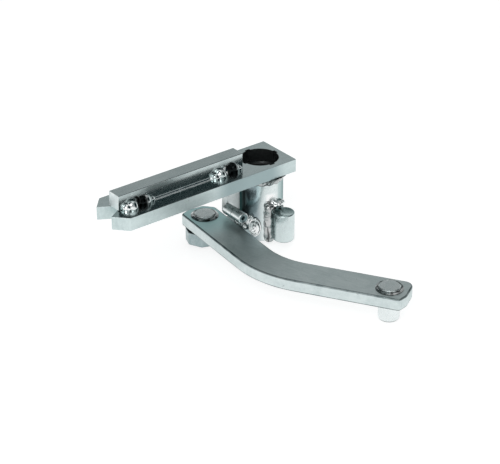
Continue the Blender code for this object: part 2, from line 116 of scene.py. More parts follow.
# Welds on the bar: where each starts, and its heaps as (place along, half length, half width, half height)
BAR_WELD_STARTS = ((-166 * MM, "tip"), (-65.5 * MM, "hub"))
BAR_HEAPS = (
    (4.0, 4.8, 5.4, 4.6),
    (10.0, 6.6, 6.8, 7.2),
    (15.5, 4.4, 4.6, 8.2),
    (20.5, 4.0, 4.8, 6.6),
    (25.5, 5.4, 6.2, 8.0),
    (31.0, 4.2, 3.6, 4.6),
)
# The seam beside the bar: its ends, and its section in mm as (out from the bar, up from the plate)
SEAM_ENDS = (-136 * MM, -62 * MM)
SEAM_SECTION = (
    (0.0, 1.7), (0.35, 1.6), (0.8, 1.0), (1.05, 0.3), (1.9, 0.2), (2.25, 0.5), (2.8, 0.65), (3.3, 0.35),
    (3.45, 0.0), (0.0, 0.0),
)

# Colours shared by the plated steels
# The first is painted light for upright faces, as from the bright floor
PAINTED_SIDE_LIGHT = (0.86, 0.90, 0.90)
WORN_BRIGHT = (0.80, 0.82, 0.82)
FLUX = (0.012, 0.014, 0.014)

# Dark screens in the studio: direction, where each is full and where it ends, and the light left
SCREENS = (
    (Vector((0.58, -0.68, 0.45)), 0.94, 0.84, 0.01),
    (Vector((-0.55, 0.05, 0.83)), 0.93, 0.80, 0.03),
    (Vector((-0.30, 0.78, 0.55)), 0.95, 0.86, 0.1),
)
FLOOR_RINGS = ((0.0, 0.0), (1.5, 0.0), (3.0, 0.0), (6.0, 0.0), (9.0, 0.2))

# Camera: the point it aims at, where it stands from there, and its lens in mm
AIM = Vector((-19.1, -7.3, 8.0)) * MM
CAMERA_OFFSET = Vector((-1015.1, -1291.3, 901.2)) * MM
LENS = 139.8

ROUND = 128


# Node helpers


def new_material(name, metallic, base, roughness):
    made = bpy.data.materials.new(name)
    made.use_nodes = True
    tree = made.node_tree
    shader = tree.nodes["Principled BSDF"]
    shader.inputs["Metallic"].default_value = metallic
    shader.inputs["Base Color"].default_value = (*base, 1)
    shader.inputs["Roughness"].default_value = roughness
    return made, tree, shader


def node(tree, kind, **settings):
    made = tree.nodes.new(kind)
    for key, value in settings.items():
        setattr(made, key, value)
    return made


def coordinates(tree, stretch=(1, 1, 1), turn=0.0):
    """Object coordinates, turned about +Z and stretched, so that a grain can run along a bar."""
    source = node(tree, "ShaderNodeTexCoord")
    mapping = node(tree, "ShaderNodeMapping", vector_type="TEXTURE")
    mapping.inputs["Rotation"].default_value = (0, 0, turn)
    mapping.inputs["Scale"].default_value = stretch
    tree.links.new(source.outputs["Object"], mapping.inputs["Vector"])
    return mapping.outputs["Vector"]


def noise_value(tree, vector, scale, detail=4.0, rough=0.55, distortion=0.0):
    made = node(tree, "ShaderNodeTexNoise")
    made.inputs["Scale"].default_value = scale
    made.inputs["Detail"].default_value = detail
    made.inputs["Roughness"].default_value = rough
    made.inputs["Distortion"].default_value = distortion
    tree.links.new(vector, made.inputs["Vector"])
    return made.outputs["Fac"]


def remap(tree, value, low, high, to_low, to_high):
    made = node(tree, "ShaderNodeMapRange", interpolation_type="SMOOTHSTEP")
    for name, number in (("From Min", low), ("From Max", high), ("To Min", to_low), ("To Max", to_high)):
        made.inputs[name].default_value = number
    tree.links.new(value, made.inputs["Value"])
    return made.outputs["Result"]


def math_node(tree, operation, first, second):
    made = node(tree, "ShaderNodeMath", operation=operation)
    for socket, value in zip(made.inputs, (first, second)):
        if isinstance(value, (int, float)):
            socket.default_value = value
        else:
            tree.links.new(value, socket)
    return made.outputs["Value"]


def times(tree, first, second):
    return math_node(tree, "MULTIPLY", first, second)


def object_place(tree):
    """The object coordinates, as the outputs X, Y and Z."""
    split = node(tree, "ShaderNodeSeparateXYZ")
    tree.links.new(node(tree, "ShaderNodeTexCoord").outputs["Object"], split.inputs["Vector"])
    return split.outputs


def mix_colour(tree, factor, first, second):
    made = node(tree, "ShaderNodeMix", data_type="RGBA")
    tree.links.new(factor, made.inputs["Factor"])
    for socket, value in ((made.inputs["A"], first), (made.inputs["B"], second)):
        if isinstance(value, tuple):
            socket.default_value = (*value, 1)
        else:
            tree.links.new(value, socket)
    return made.outputs["Result"]


def add_bump(tree, shader, height, distance, strength=1.0, under=None):
    bump = node(tree, "ShaderNodeBump")
    bump.inputs["Strength"].default_value = strength
    bump.inputs["Distance"].default_value = distance
    tree.links.new(height, bump.inputs["Height"])
    if under is not None:
        tree.links.new(under, bump.inputs["Normal"])
    tree.links.new(bump.outputs["Normal"], shader.inputs["Normal"])
    return bump.outputs["Normal"]


# Materials


def upward(tree):
    """1 on faces that look up or down, 0 on upright ones."""
    source = node(tree, "ShaderNodeTexCoord")
    split = node(tree, "ShaderNodeSeparateXYZ")
    tree.links.new(source.outputs["Normal"], split.inputs["Vector"])
    return remap(tree, math_node(tree, "ABSOLUTE", split.outputs["Z"], 0.0), 0.3, 0.95, 0.0, 1.0)


def zinc(
    name, dark, light, roughness, turn=0.0, mottle=26.0, grain=1.0, side=0.0, pale=0.0, shade=None, rim=None
):
    """Plated mill steel: cloudy tint, fine crystals, faint lengthwise rolling streaks and small pits.

    side is added to the roughness of upright faces. A paling factor lightens upright faces with painted
    light from the bright floor. shade darkens the top near one end, as (y from, y to, factor). rim is
    the colour of the edge band, painted shade along the edges; without it the edges are lightened by wear.
    Faces that look down are darkened with painted shade.
    """
    made, tree, shader = new_material(name, 1.0, light, roughness[0])
    flat = coordinates(tree)
    along = coordinates(tree, (0.12, 0.012, 0.04), turn)
    clouds = noise_value(tree, flat, mottle, 5.0, 0.6, 0.6)
    crystals = noise_value(tree, flat, 620.0, 3.0, 0.7)
    streaks = noise_value(tree, along, 9.0, 4.0, 0.6)
    pits = noise_value(tree, flat, 310.0, 2.0, 0.5)

    tone = math_node(tree, "ADD", times(tree, clouds, 0.62), times(tree, streaks, 0.38))
    colour = mix_colour(tree, remap(tree, tone, 0.36, 0.64, 0.0, 1.0), dark, light)
    speck = remap(tree, crystals, 0.42, 0.72, 0.0, 0.35)
    colour = mix_colour(tree, speck, colour, tuple(min(1.0, c * 1.12) for c in light))
    pitted = remap(tree, pits, 0.70, 0.78, 0.0, 0.55)
    colour = mix_colour(tree, pitted, colour, tuple(c * 0.45 for c in dark))
    if shade is not None:
        place = node(tree, "ShaderNodeSeparateXYZ")
        tree.links.new(flat, place.inputs["Vector"])
        wander = math_node(tree, "ADD", place.outputs["Y"], times(tree, clouds, 0.02))
        far = remap(tree, wander, shade[0], shade[1], 0.0, 1.0)
        far = times(tree, far, upward(tree))
        colour = mix_colour(tree, far, colour, tuple(c * f for c, f in zip(dark, shade[2])))
    # Upright faces are lightened: painted light from the bright floor.
    if pale:
        upright = math_node(tree, "SUBTRACT", 1.0, upward(tree))
        colour = mix_colour(tree, times(tree, upright, pale), colour, PAINTED_SIDE_LIGHT)
    # Faces that look down are darkened: painted shade.
    facing = node(tree, "ShaderNodeSeparateXYZ")
    tree.links.new(node(tree, "ShaderNodeTexCoord").outputs["Normal"], facing.inputs["Vector"])
    underside_shade = remap(tree, facing.outputs["Z"], -0.6, -0.15, 0.8, 0.0)
    colour = mix_colour(tree, underside_shade, colour, tuple(c * 0.25 for c in dark))
    edge_wear_and_shade = node(tree, "ShaderNodeAttribute", attribute_name="edge_wear_and_shade")
    edge = times(tree, edge_wear_and_shade.outputs["Fac"], remap(tree, crystals, 0.3, 0.6, 0.05, 0.4))
    if rim is None:
        colour = mix_colour(tree, edge, colour, WORN_BRIGHT)
    else:
        # The rim colour is painted shade along the edges.
        edge_shade = remap(tree, clouds, 0.32, 0.6, 0.95, 0.55)
        colour = mix_colour(tree, times(tree, edge_wear_and_shade.outputs["Fac"], edge_shade), colour, rim)
    tree.links.new(colour, shader.inputs["Base Color"])

    rough = remap(tree, tone, 0.32, 0.68, roughness[1], roughness[0])
    rough = math_node(tree, "ADD", rough, remap(tree, pits, 0.68, 0.8, 0.0, 0.2))
    rough = math_node(tree, "SUBTRACT", rough, times(tree, edge, 0.05))
    if side:
        upright = math_node(tree, "SUBTRACT", 1.0, upward(tree))
        rough = math_node(tree, "ADD", rough, times(tree, upright, side))
    tree.links.new(rough, shader.inputs["Roughness"])

    height = math_node(tree, "ADD", times(tree, crystals, 0.5), times(tree, streaks, 0.6))
    height = math_node(tree, "SUBTRACT", height, times(tree, pitted, 0.8))
    first = add_bump(tree, shader, height, 0.00003 * grain)
    waves = noise_value(tree, flat, 45.0, 1.0, 0.5)
    add_bump(tree, shader, waves, 0.0004 * grain, 1.0, first)
    return made


def tint(made, amount, colour):
    """Mixes a colour over what a plated material already has."""
    tree = made.node_tree
    socket = tree.nodes["Principled BSDF"].inputs["Base Color"]
    tree.links.new(mix_colour(tree, amount, socket.links[0].from_socket, colour), socket)


def tint_sector(made, start, end, colour, heights=None, centre=(0, 0)):
    """Tints between two directions, in degrees, round an upright axis.

    It fades in over 8 degrees and out over 25. It stands in for a broad reflection that the plain
    studio doesn't give, and isn't a known stain.
    """
    tree = made.node_tree
    place = object_place(tree)
    away_x = math_node(tree, "SUBTRACT", centre[0], place["X"])
    away_y = math_node(tree, "SUBTRACT", centre[1], place["Y"])
    turn = math_node(tree, "ARCTAN2", away_y, away_x)
    fade = math.radians(25)
    first, last = math.radians(start) - math.pi, math.radians(end) - math.pi
    begun = remap(tree, turn, first - fade / 3, first, 0.0, 1.0)
    amount = times(tree, begun, remap(tree, turn, last, last + fade, 1.0, 0.0))
    if heights is not None:
        low, high = heights
        rise = remap(tree, place["Z"], low - 4 * MM, low, 0.0, 1.0)
        fall = remap(tree, place["Z"], high, high + 4 * MM, 1.0, 0.0)
        amount = times(tree, amount, times(tree, rise, fall))
    tint(made, amount, colour)


def tint_band(made, low, high, colour, rise_over, fall_over, upright_only=True):
    """Tints faces between two places along X; on the plate's side it is a painted dark reflection."""
    tree = made.node_tree
    x = object_place(tree)["X"]
    rise = remap(tree, x, low, low + rise_over, 0.0, 1.0)
    fall = remap(tree, x, high - fall_over, high, 1.0, 0.0)
    amount = times(tree, rise, fall)
    if upright_only:
        amount = times(tree, amount, math_node(tree, "SUBTRACT", 1.0, upward(tree)))
    tint(made, amount, colour)


def weld_zinc(name, flux_amount, swell, stretch=(1, 1, 1), patch=190.0, tone=1.0, gloss=(0.05, 0.14)):
    """Glossy plated weld metal: pale, with black flux in the hollows and soft ripples."""
    made, tree, shader = new_material(name, 1.0, (0.88, 0.90, 0.90), 0.08)
    flat = coordinates(tree)
    clouds = noise_value(tree, flat, 110.0, 1.5, 0.4, 0.3)
    fine = noise_value(tree, flat, 700.0, 2.0, 0.5)
    dull, bright = (0.50 * tone, 0.56 * tone, 0.56 * tone), (0.95 * tone, 0.96 * tone, 0.96 * tone)
    colour = mix_colour(tree, remap(tree, clouds, 0.35, 0.62, 0.0, 1.0), dull, bright)
    patches = noise_value(tree, coordinates(tree, stretch), patch, 1.0, 0.4, 0.3)
    flux = remap(tree, patches, 0.56, 0.63, 0.0, flux_amount)
    colour = mix_colour(tree, flux, colour, FLUX)
    tree.links.new(colour, shader.inputs["Base Color"])
    tree.links.new(remap(tree, fine, 0.3, 0.7, *gloss), shader.inputs["Roughness"])
    first = add_bump(tree, shader, clouds, swell)
    add_bump(tree, shader, fine, 0.00001, 1.0, first)
    return made


def bush_black_and_bore_reflection(name):
    """Matt black plastic bushes, greased and rubbed; on the plate's bore wall, a painted dark reflection."""
    made, tree, shader = new_material(name, 0.0, (0.012, 0.014, 0.014), 0.5)
    flat = coordinates(tree)
    smear = noise_value(tree, flat, 120.0, 4.0, 0.6, 0.4)
    rub = noise_value(tree, coordinates(tree, (1, 1, 0.1)), 700.0, 3.0, 0.6)
    film = remap(tree, smear, 0.4, 0.75, 0.0, 1.0)
    colour = mix_colour(tree, film, (0.006, 0.008, 0.008), (0.028, 0.033, 0.033))
    tree.links.new(colour, shader.inputs["Base Color"])
    tree.links.new(remap(tree, smear, 0.3, 0.7, 0.62, 0.34), shader.inputs["Roughness"])
    add_bump(tree, shader, rub, 0.00005)
    return made


def bare_metal(name, base, dark, light, dull_to, cloud_scale, grain_scale, roughness):
    """Unplated metal with a cloudy tint and a fine grain. base is (colour, roughness) before the clouds."""
    made, tree, shader = new_material(name, 1.0, *base)
    flat = coordinates(tree)
    clouds = noise_value(tree, flat, cloud_scale, 4.0, 0.6)
    colour = mix_colour(tree, remap(tree, clouds, dull_to, 0.7, 0.0, 1.0), dark, light)
    tree.links.new(colour, shader.inputs["Base Color"])
    tree.links.new(remap(tree, clouds, 0.3, 0.7, *roughness), shader.inputs["Roughness"])
    add_bump(tree, shader, noise_value(tree, flat, grain_scale, 2.0), 0.00003)
    return made


# Mesh helpers


def on_circle(radius, angle, centre=(0, 0)):
    return Vector((centre[0] + radius * math.cos(angle), centre[1] + radius * math.sin(angle)))


def arc(centre, radius, start, end, steps):
    return [on_circle(radius, start + (end - start) * step / steps, centre) for step in range(steps + 1)]


def spaced(start, end, steps):
    return [start + (end - start) * step / steps for step in range(steps + 1)]


def along(origin, angle, forward, left):
    ahead = Vector((math.cos(angle), math.sin(angle)))
    return Vector(origin[:2]) + ahead * forward + Vector((-ahead.y, ahead.x)) * left


def softened(points, radius, closed=True, steps=4):
    """The polygon with each corner turned into a short curve."""
    made = []
    count = len(points)
    for number, point in enumerate(points):
        point = Vector(point)
        if not closed and number in (0, count - 1):
            made.append(point)
            continue
        before = Vector(points[number - 1]) - point
        after = Vector(points[(number + 1) % count]) - point
        turn = before.angle(-after) if before.length and after.length else 0
        cut = min(radius, before.length * 0.45, after.length * 0.45)
        if turn < math.radians(12) or cut <= 0:
            made.append(point)
            continue
        start = point + before.normalized() * cut
        end = point + after.normalized() * cut
        for step in range(steps + 1):
            t = step / steps
            made.append(start * (1 - t) ** 2 + point * 2 * t * (1 - t) + end * t**2)
    return made


def piece(name, mesh, body, material, replaces):
    obj = bpy.data.objects.new(name, mesh)
    bpy.context.scene.collection.objects.link(obj)
    mesh.materials.clear()
    mesh.materials.append(material)
    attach(obj, body)
    if replaces:
        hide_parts(*replaces)
    return obj


def smooth_mesh(name, shape):
    """Ends a bmesh: its faces turned outwards, as a smooth mesh."""
    bmesh.ops.recalc_face_normals(shape, faces=shape.faces)
    mesh = bpy.data.meshes.new(name)
    shape.to_mesh(mesh)
    shape.free()
    mesh.shade_smooth()
    return mesh


def bridge(shape, first, second):
    """Joins two equal closed rings of vertices with four-sided faces."""
    for number in range(len(first)):
        ahead = (number + 1) % len(first)
        shape.faces.new((first[number], second[number], second[ahead], first[ahead]))


def baked(obj):
    """The object's mesh with its modifiers applied. The helper object goes away."""
    bpy.context.view_layer.update()
    mesh = bpy.data.meshes.new_from_object(obj.evaluated_get(bpy.context.evaluated_depsgraph_get()))
    bpy.data.objects.remove(obj)
    return mesh


def flat_bar(name, outline, foot, top, edge, holes=(), segments=4, hole_reach=0.0):
    """A plate with rounded edges, as a mesh. Faces of its rounded edges carry 1 in the mask
    of edge wear and painted edge shade.

    Edges within hole_reach of the Z axis are kept almost sharp.
    """
    curve = bpy.data.curves.new(name, "CURVE")
    curve.dimensions = "2D"
    curve.fill_mode = "BOTH"
    curve.extrude = (top - foot) / 2
    for ring in (outline, *holes):
        spline = curve.splines.new("POLY")
        spline.points.add(len(ring) - 1)
        for point, (x, y) in zip(spline.points, ring):
            point.co = (x, y, 0, 1)
        spline.use_cyclic_u = True
    guide = bpy.data.objects.new(name, curve)
    bpy.context.scene.collection.objects.link(guide)
    mesh = baked(guide)
    mesh.transform(Matrix.Translation((0, 0, (foot + top) / 2)))
    shape = bmesh.new()
    shape.from_mesh(mesh)
    bmesh.ops.remove_doubles(shape, verts=shape.verts, dist=0.000001)
    bmesh.ops.dissolve_limit(
        shape,
        angle_limit=math.radians(0.5),
        use_dissolve_boundaries=False,
        verts=shape.verts,
        edges=shape.edges,
    )
    bmesh.ops.recalc_face_normals(shape, faces=shape.faces)
    edge_wear_and_shade = shape.faces.layers.float.new("edge_wear_and_shade_face")
    rim, hole_rim = [], []
    for corner in shape.edges:
        if len(corner.link_faces) == 2 and corner.calc_face_angle(0) > math.radians(60):
            near = max(vertex.co.xy.length for vertex in corner.verts) < hole_reach
            flat = abs(corner.verts[0].co.z - corner.verts[1].co.z) < 1e-6
            if not near:
                rim.append(corner)
            elif flat:
                hole_rim.append(corner)
    rounding = {"profile": 0.5, "affect": "EDGES", "clamp_overlap": True}
    made = bmesh.ops.bevel(shape, geom=rim, offset=edge, segments=segments, **rounding)
    for face in made["faces"]:
        face[edge_wear_and_shade] = 1.0
    if hole_rim:
        bmesh.ops.bevel(shape, geom=hole_rim, offset=0.25 * MM, segments=2, **rounding)
    shape.to_mesh(mesh)
    shape.free()
    spread_edge_wear_and_shade(mesh)
    mesh.shade_smooth()
    mesh.set_sharp_from_angle(angle=math.radians(38))
    weigh_normals(mesh)
    return mesh


def spread_edge_wear_and_shade(mesh):
    """Copies the mask of wear and painted edge shade from faces to corners, as the material reads it."""
    source = mesh.attributes["edge_wear_and_shade_face"]
    target = mesh.attributes.new("edge_wear_and_shade", "FLOAT", "CORNER")
    for face, value in zip(mesh.polygons, source.data):
        for corner in face.loop_indices:
            target.data[corner].value = value.value
    mesh.attributes.remove(mesh.attributes["edge_wear_and_shade_face"])


def weigh_normals(mesh):
    """Keeps large faces flat where they meet their rounded edges."""
    totals = [Vector((0, 0, 0)) for _ in mesh.vertices]
    for face in mesh.polygons:
        for vertex in face.vertices:
            totals[vertex] += face.normal * face.area
    sharp = set()
    for edge_key in mesh.edges:
        if edge_key.use_edge_sharp:
            sharp.update(edge_key.vertices)
    normals = []
    for face in mesh.polygons:
        for vertex in face.vertices:
            if vertex in sharp or totals[vertex].length < 1e-12:
                normals.append(face.normal.copy())
            else:
                normals.append(totals[vertex].normalized())
    mesh.normals_split_custom_set(normals)


def turned(name, profile, centre, steps=ROUND, sharp=40):
    """(radius, height) points turned about an upright axis. The profile runs down its outer side."""
    shape = bmesh.new()
    rings = []
    for radius, height in profile:
        if radius < 1e-7:
            rings.append([shape.verts.new((centre[0], centre[1], height))])
            continue
        ring = []
        for step in range(steps):
            x, y = on_circle(radius, 2 * math.pi * step / steps, centre)
            ring.append(shape.verts.new((x, y, height)))
        rings.append(ring)
    pairs = list(zip(rings, rings[1:]))
    if len(rings[0]) > 1:
        pairs.append((rings[-1], rings[0]))
    for upper, lower in pairs:
        for step in range(steps):
            ahead = (step + 1) % steps
            corners = [upper[step % len(upper)], lower[step % len(lower)]]
            if len(lower) > 1:
                corners.append(lower[ahead])
            if len(upper) > 1:
                corners.append(upper[ahead])
            shape.faces.new(corners)
    mesh = smooth_mesh(name, shape)
    mesh.set_sharp_from_angle(angle=math.radians(sharp))
    return mesh


def lay_along_y(mesh, x, z):
    """Turns a mesh made about +Z so that its axis runs along -Y through (x, z). Height becomes -y."""
    mesh.transform(Matrix.Translation((x, 0, z)) @ Matrix.Rotation(math.radians(90), 4, "X"))


def lumpy(name, lumps, voxel=0.45 * MM, rough=0.35 * MM, scale=2.6 * MM, seed=0, smooth=4, fine=0.5):
    """Weld metal: egg shapes (centre, radii, turn) run together, smoothed, then made uneven."""
    shape = bmesh.new()
    for centre, radii, turn in lumps:
        made = bmesh.ops.create_icosphere(shape, subdivisions=5, radius=1.0)
        points = made["verts"]
        bmesh.ops.scale(shape, vec=radii, verts=points)
        bmesh.ops.rotate(shape, cent=(0, 0, 0), matrix=Matrix.Rotation(turn, 3, "Z"), verts=points)
        bmesh.ops.translate(shape, vec=centre, verts=points)
    mesh = bpy.data.meshes.new(name)
    shape.to_mesh(mesh)
    shape.free()
    helper = bpy.data.objects.new(name, mesh)
    bpy.context.scene.collection.objects.link(helper)
    remesh = helper.modifiers.new("remesh", "REMESH")
    remesh.mode = "VOXEL"
    remesh.voxel_size = voxel
    mesh = baked(helper)
    shape = bmesh.new()
    shape.from_mesh(mesh)
    for _ in range(smooth):
        bmesh.ops.smooth_vert(
            shape, verts=shape.verts, factor=0.5, use_axis_x=True, use_axis_y=True, use_axis_z=True
        )
    shape.normal_update()
    shift = Vector((seed * 3.7, seed * 1.3, seed * 2.1))
    moves = []
    for vertex in shape.verts:
        place = vertex.co / scale + shift
        amount = noise.noise(place) + fine * noise.noise(place * 2.1)
        moves.append(vertex.normal * amount * rough)
    for vertex, move in zip(shape.verts, moves):
        vertex.co += move
    shape.to_mesh(mesh)
    shape.free()
    mesh.shade_smooth()
    return mesh


# The lever


def keyed_bore():
    """The outline of the plate's bore, with its four keyways."""
    points = []
    half = math.asin(KEYWAY_HALF / PLATE_BORE_R)
    for quarter in range(4):
        turn = quarter * math.pi / 2
        for side in (-1, 1):
            points.append(Vector((KEYWAY_R, side * KEYWAY_HALF)))
            points[-1].rotate(Matrix.Rotation(turn, 2))
        points.extend(arc((0, 0), PLATE_BORE_R, turn + half, turn + math.pi / 2 - half, 20))
    return [point + Vector((PLATE_BORE_X, 0)) for point in softened(points, 0.5 * MM)]


def leaf_plate(steel, black):
    half = (PLATE[1].y - PLATE[0].y) / 2
    tip, head = PLATE[0].x, PLATE[1].x
    outline = [
        (head, -half),
        (head, half),
        (tip + TIP_CHAMFER.x, half),
        (tip, half - TIP_CHAMFER.y),
        (tip + NOTCH_DEPTH, 0),
        (tip, TIP_CHAMFER.y - half),
        (tip + TIP_CHAMFER.x, -half),
    ]
    mesh = flat_bar(
        "leaf_plate_steel", softened(outline, 0.9 * MM), PLATE[0].z, PLATE[1].z, 1.0 * MM, [keyed_bore()],
        hole_reach=KEYWAY_R + 2 * MM,
    )
    obj = piece("leaf_plate_steel", mesh, "lever", steel, ["leaf_plate"])
    # The bore's wall and keyways take the black: painted dark reflection, as the wall is plated steel.
    mesh.materials.append(black)
    for face in mesh.polygons:
        if face.center.xy.length < KEYWAY_R + 2 * MM and abs(face.normal.z) < 0.98:
            face.material_index = 1
    return obj


def leaf_bar(steel, sawn):
    """Square bar with drawn, rounded long edges and sawn ends."""
    half_y = (BAR[1].y - BAR[0].y) / 2
    half_x = (BAR[1].x - BAR[0].x) / 2
    centre = middle(BAR)
    height = BAR[1].z - BAR[0].z
    shape = bmesh.new()
    bmesh.ops.create_cube(shape, size=1.0)
    bmesh.ops.scale(shape, vec=(2 * half_x, 2 * half_y, height), verts=shape.verts)
    edge_wear_and_shade = shape.faces.layers.float.new("edge_wear_and_shade_face")
    long_edges = []
    for line in shape.edges:
        if abs(line.verts[0].co.x - line.verts[1].co.x) > half_x:
            long_edges.append(line)
    made = bmesh.ops.bevel(shape, geom=long_edges, offset=0.9 * MM, segments=4, profile=0.5, affect="EDGES")
    for face in made["faces"]:
        face[edge_wear_and_shade] = 0.6
    ends = [line for line in shape.edges if line.calc_face_angle(0) > math.radians(60)]
    made = bmesh.ops.bevel(shape, geom=ends, offset=0.45 * MM, segments=2, profile=0.5, affect="EDGES")
    for face in made["faces"]:
        face[edge_wear_and_shade] = 1.0
    bmesh.ops.translate(shape, vec=centre, verts=shape.verts)
    mesh = bpy.data.meshes.new("leaf_bar_steel")
    shape.to_mesh(mesh)
    shape.free()
    spread_edge_wear_and_shade(mesh)
    mesh.shade_smooth()
    mesh.set_sharp_from_angle(angle=math.radians(38))
    weigh_normals(mesh)
    obj = piece("leaf_bar_steel", mesh, "lever", steel, ["leaf_bar"])
    mesh.materials.append(sawn)
    for face in mesh.polygons:
        if abs(face.normal.x) > 0.8:
            face.material_index = 1
    return obj


def bar_welds(weld, seam_steel):
    """Short, heaped welds along both sides of the bar, and the thin seam of plating between them."""
    foot = PLATE[1].z
    for side, side_name in ((-1, "front"), (1, "back")):
        wall = side * BAR[1].y
        for start, end_name in BAR_WELD_STARTS:
            lumps = []
            for place, length, out, up in BAR_HEAPS:
                centre = (start + place * MM, wall + side * 0.8 * MM, foot + 0.8 * MM)
                lumps.append((centre, (length * MM, out * MM, up * MM), 0.0))
            seed = 3 + side + (7 if end_name == "hub" else 0)
            name = f"bar_weld_{side_name}_{end_name}"
            mesh = lumpy(
                name + "_bead", lumps, rough=0.9 * MM, scale=7.0 * MM, seed=seed, smooth=5, fine=0.15
            )
            piece(name + "_bead", mesh, "lever", weld, [name])
        bar_seam(side, wall, foot, seam_steel, side_name)


def bar_seam(side, wall, foot, steel, side_name):
    """The thin bead of plating that fills the corner between the bar and the plate."""
    shape = bmesh.new()
    rings = []
    for x in spaced(*SEAM_ENDS, 120):
        ring = []
        for out, up in SEAM_SECTION:
            swell = 1 + 0.08 * noise.noise(Vector((x / (9 * MM), up, side)))
            y = wall + side * (out * swell - 0.2) * MM
            ring.append(shape.verts.new((x, y, foot + (up * swell - 0.12) * MM)))
        rings.append(ring)
    count = len(SEAM_SECTION)
    for first, second in zip(rings, rings[1:]):
        for number in range(count):
            ahead = (number + 1) % count
            shape.faces.new((first[number], first[ahead], second[ahead], second[number]))
    shape.faces.new(rings[0])
    shape.faces.new(rings[-1])
    mesh = smooth_mesh(f"bar_seam_{side_name}", shape)
    piece(f"bar_seam_{side_name}", mesh, "lever", steel, [])


def hub(steel):
    inner, outer = BORE_R, HUB_R
    foot, top = HUB[0].z, HUB[1].z
    profile = [(inner, top), (outer, top)]
    profile += softened([(outer, top), (outer, foot), (inner, foot), (inner, top)], 1.0 * MM, False)[1:-1]
    mesh = turned("hub_tube_steel", profile, (0, 0))
    return piece("hub_tube_steel", mesh, "lever", steel, ["hub_tube"])


def plate_ring_weld(weld_matt):
    """A fillet weld all round the hub under the plate, with scalloped ripples."""
    leg = HUB_WELD[1].x - HUB_R
    top = HUB_WELD[1].z
    drop = top - HUB_WELD[0].z
    steps, rows = 220, 9
    shape = bmesh.new()
    rings = []
    for row in range(rows):
        t = row / (rows - 1)
        ring = []
        for step in range(steps):
            angle = 2 * math.pi * step / steps
            uneven = noise.noise(Vector((angle * 4, t * 2, 1)))
            ripple = 1 + 0.07 * math.sin(34 * angle + 2.2 * t) + 0.10 * uneven
            sag = 1 - 0.55 * math.sin(math.pi * t) * 0.5
            radius = HUB_R - 0.3 * MM + (leg * 0.98) * (1 - t) * ripple * sag
            height = top - drop * t * (1 + 0.06 * math.sin(17 * angle + 1)) * 0.97
            x, y = on_circle(radius, angle)
            ring.append(shape.verts.new((x, y, height)))
        rings.append(ring)
    for upper, lower in zip(rings, rings[1:]):
        bridge(shape, upper, lower)
    mesh = smooth_mesh("plate_weld_bead", shape)
    return piece("plate_weld_bead", mesh, "lever", weld_matt, ["plate_weld"])


def lower_arm(steel):
    reach = PIVOT.length
    tip = reach + ARM_OVERHANG
    start = math.asin(ARM_HALF / (HUB_R + 0.3 * MM))
    outline = arc((0, 0), HUB_R + 0.1 * MM, ARM_ANGLE + start, ARM_ANGLE - start, 24)
    corners = [
        along((0, 0), ARM_ANGLE, tip - ARM_CHAMFER, -ARM_HALF),
        along((0, 0), ARM_ANGLE, tip, ARM_CHAMFER - ARM_HALF),
        along((0, 0), ARM_ANGLE, tip, ARM_HALF - ARM_CHAMFER),
        along((0, 0), ARM_ANGLE, tip - ARM_CHAMFER, ARM_HALF),
    ]
    outline += softened([outline[-1], *corners, outline[0]], 1.5 * MM, False)[1:-1]
    mesh = flat_bar("lower_arm_steel", outline, ARM[0].z, ARM[1].z, 0.9 * MM)
    return piece("lower_arm_steel", mesh, "lever", steel, ["lower_arm"])


def arm_welds(weld, weld_matt):
    seam = HUB_R + 1.2 * MM
    top = ARM[1].z
    lumps = []
    for step in range(-5, 6):
        x, y = on_circle(seam, ARM_ANGLE + math.radians(5.6 * step))
        lumps.append(((x, y, top + 0.8 * MM), (3.6 * MM, 3.6 * MM, 3.6 * MM), 0.0))
    mesh = lumpy("arm_weld_top_bead", lumps, rough=0.4 * MM, seed=21)
    piece("arm_weld_top_bead", mesh, "lever", weld_matt, ["arm_weld_top"])
    corner = math.asin(ARM_HALF / HUB_R)
    lumps = []
    for number in range(4):
        x, y = on_circle(HUB_R + 1.2 * MM, ARM_ANGLE - corner - math.radians(4))
        lumps.append(((x, y, (3.5 + 2.8 * number) * MM), (4.2 * MM, 4.2 * MM, 3.2 * MM), 0.0))
    mesh = lumpy("arm_weld_back_bead", lumps, rough=0.4 * MM, seed=22)
    piece("arm_weld_back_bead", mesh, "lever", weld_matt, ["arm_weld_back"])
    whorl(weld, ARM_ANGLE + corner + math.radians(8))


